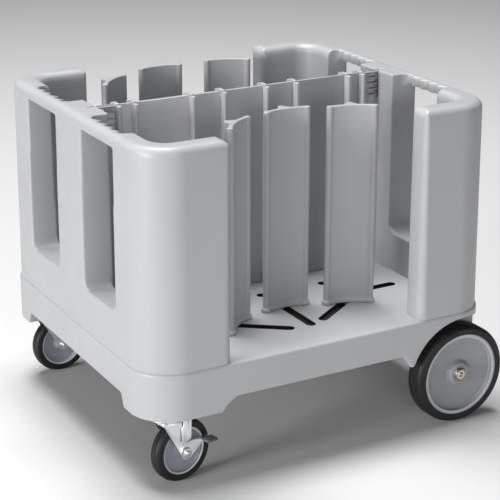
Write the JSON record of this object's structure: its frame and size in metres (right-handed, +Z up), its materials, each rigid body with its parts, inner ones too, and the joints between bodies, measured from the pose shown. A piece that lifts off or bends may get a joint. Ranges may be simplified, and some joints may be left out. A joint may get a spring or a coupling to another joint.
{
  "type": "dish caddy",
  "caption": "Wheeled dish caddy with a tray base, windowed end walls with grips, a lift-out divider, sliding towers, swivel casters and large fixed wheels.",
  "frame": {"origin": "on the floor under the middle of the whole caddy, wheels included", "axes": "+X along the length towards the big wheels, +Y across the width away from the pictured side, +Z up"},
  "size_m": [0.97, 0.84, 0.803],
  "materials": {
    "moulding": "satin moulded polyethylene",
    "wheel": "satin",
    "tyre": "matt rubber",
    "zinc": "zinc plated",
    "bush": "sintered bearing metal",
    "pedal": "satin"
  },
  "bodies": {
    "tray": {"base": "moulding", "wall_left": "moulding", "wall_right": "moulding", "wall_bolts_left": "zinc", "wall_bolts_right": "zinc", "axle": "zinc", "axle_hangers": "zinc", "hanger_bolts": "zinc", "axle_cap_front": "zinc", "axle_cap_back": "zinc", "caster_plate_front": "zinc", "plate_bolts_front": "zinc", "kingpin_front": "zinc", "caster_plate_back": "zinc", "plate_bolts_back": "zinc", "kingpin_back": "zinc"},
    "divider_panel": {"divider": "moulding", "divider_flanges": "moulding"},
    "front_left_tower": {"tower_front_left": "moulding", "tower_front_left_bolt": "zinc", "tower_front_left_nut": "zinc"},
    "front_mid_tower": {"tower_front_mid": "moulding", "tower_front_mid_bolt": "zinc", "tower_front_mid_nut": "zinc"},
    "front_right_tower": {"tower_front_right": "moulding", "tower_front_right_bolt": "zinc", "tower_front_right_nut": "zinc"},
    "back_left_tower": {"tower_back_left": "moulding", "tower_back_left_bolt": "zinc", "tower_back_left_nut": "zinc"},
    "back_mid_tower": {"tower_back_mid": "moulding", "tower_back_mid_bolt": "zinc", "tower_back_mid_nut": "zinc"},
    "back_right_tower": {"tower_back_right": "moulding", "tower_back_right_bolt": "zinc", "tower_back_right_nut": "zinc"},
    "big_wheel_front": {"big_tyre_front": "tyre", "big_hub_front": "wheel", "big_bush_front": "bush"},
    "swivel_front": {"fork_front": "zinc", "caster_bolt_front": "zinc"},
    "caster_wheel_front": {"caster_hub_front": "wheel", "caster_tyre_front": "tyre"},
    "big_wheel_back": {"big_tyre_back": "tyre", "big_hub_back": "wheel", "big_bush_back": "bush"},
    "swivel_back": {"fork_back": "zinc", "caster_bolt_back": "zinc"},
    "caster_wheel_back": {"caster_hub_back": "wheel", "caster_tyre_back": "tyre"},
    "brake": {"brake_lever": "zinc", "brake_pedal": "pedal"}
  },
  "joints": [
    {"name": "divider_lift", "type": "slide", "parent": "tray", "child": "divider_panel", "axis": [0, 0, 1], "range_m": [0, 0.075]},
    {"name": "front_left_slide", "type": "slide", "parent": "tray", "child": "front_left_tower", "axis": [0.8039, -0.5948, 0], "range_m": [-0.05, 0.05]},
    {"name": "front_mid_slide", "type": "slide", "parent": "tray", "child": "front_mid_tower", "axis": [0, -1, 0], "range_m": [0, 0.12]},
    {"name": "front_right_slide", "type": "slide", "parent": "tray", "child": "front_right_tower", "axis": [-0.829, -0.5592, 0], "range_m": [-0.05, 0.05]},
    {"name": "back_left_slide", "type": "slide", "parent": "tray", "child": "back_left_tower", "axis": [0.8039, -0.5948, 0], "range_m": [0, 0.05]},
    {"name": "back_mid_slide", "type": "slide", "parent": "tray", "child": "back_mid_tower", "axis": [0, -1, 0], "range_m": [0, 0.12]},
    {"name": "back_right_slide", "type": "slide", "parent": "tray", "child": "back_right_tower", "axis": [-0.829, -0.5592, 0], "range_m": [0, 0.07]},
    {"name": "big_wheel_front_spin", "type": "hinge", "parent": "tray", "child": "big_wheel_front", "pos_m": [0.36, -0.39, 0.125], "axis": [0, 1, 0], "continuous": true},
    {"name": "big_wheel_back_spin", "type": "hinge", "parent": "tray", "child": "big_wheel_back", "pos_m": [0.36, 0.39, 0.125], "axis": [0, 1, 0], "continuous": true},
    {"name": "front_swivel", "type": "hinge", "parent": "tray", "child": "swivel_front", "pos_m": [-0.404, -0.3574, 0.16], "axis": [0, 0, 1], "continuous": true},
    {"name": "caster_front_spin", "type": "hinge", "parent": "swivel_front", "child": "caster_wheel_front", "pos_m": [-0.37551, -0.35199, 0.076], "axis": [-0.1865, 0.9825, 0], "continuous": true},
    {"name": "brake_press", "type": "hinge", "parent": "swivel_front", "child": "brake", "pos_m": [-0.37551, -0.35199, 0.076], "axis": [-0.1865, 0.9825, 0], "range_deg": [0, 14]},
    {"name": "back_swivel", "type": "hinge", "parent": "tray", "child": "swivel_back", "pos_m": [-0.404, 0.3574, 0.16], "axis": [0, 0, 1], "continuous": true},
    {"name": "caster_back_spin", "type": "hinge", "parent": "swivel_back", "child": "caster_wheel_back", "pos_m": [-0.37508, 0.35957, 0.076], "axis": [-0.075, 0.9972, 0], "continuous": true}
  ]
}
